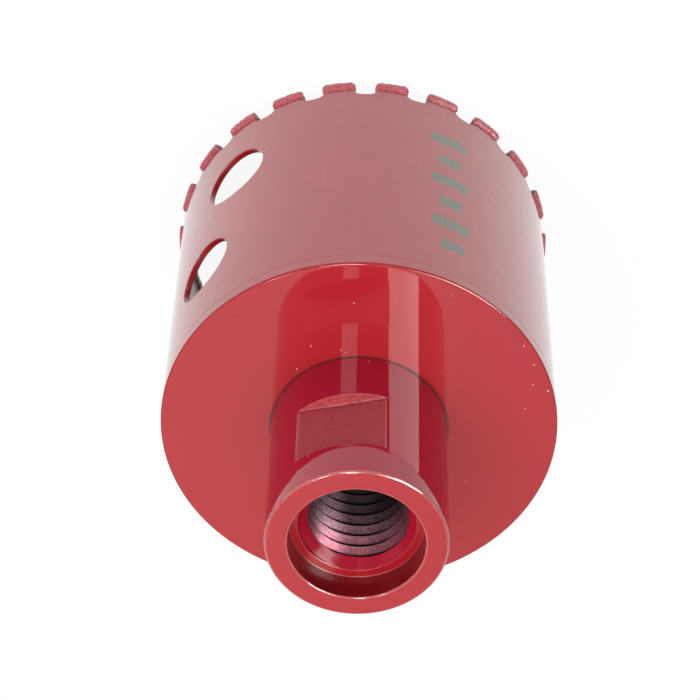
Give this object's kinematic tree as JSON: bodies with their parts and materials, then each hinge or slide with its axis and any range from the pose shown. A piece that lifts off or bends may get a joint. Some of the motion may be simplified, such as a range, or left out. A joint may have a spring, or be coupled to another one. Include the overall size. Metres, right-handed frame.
{
  "type": "diamond core bit",
  "caption": "Small core bit: slotted steel tube with brazed diamond caps on its teeth, side holes, and a turned hub with spanner flats and a spindle thread.",
  "frame": {"origin": "on the axis, in the plane of the tooth tips that the part stands on", "axes": "+Z along the axis from the tooth tips to the mouth of the hub; -Y between the two side holes of one pair, through the middle of a slot"},
  "size_m": [0.0504, 0.0504, 0.0658],
  "materials": {
    "barrel": "gloss red paint outside, bare grey steel inside",
    "base_plate": "gloss red paint",
    "hub": "gloss red paint, bare dark steel in the thread",
    "diamond_grit": "rough brazed grit, thinly painted outside"
  },
  "bodies": {
    "root": {"barrel": "barrel", "base_plate": "base_plate", "hub": "hub", "cap_01": "diamond_grit", "cap_02": "diamond_grit", "cap_03": "diamond_grit", "cap_04": "diamond_grit", "cap_05": "diamond_grit", "cap_06": "diamond_grit", "cap_07": "diamond_grit", "cap_08": "diamond_grit", "cap_09": "diamond_grit", "cap_10": "diamond_grit", "cap_11": "diamond_grit", "cap_12": "diamond_grit", "cap_13": "diamond_grit", "cap_14": "diamond_grit", "cap_15": "diamond_grit", "cap_16": "diamond_grit", "cap_17": "diamond_grit", "cap_18": "diamond_grit", "cap_19": "diamond_grit", "cap_20": "diamond_grit", "cap_21": "diamond_grit", "cap_22": "diamond_grit"}
  },
  "joints": []
}
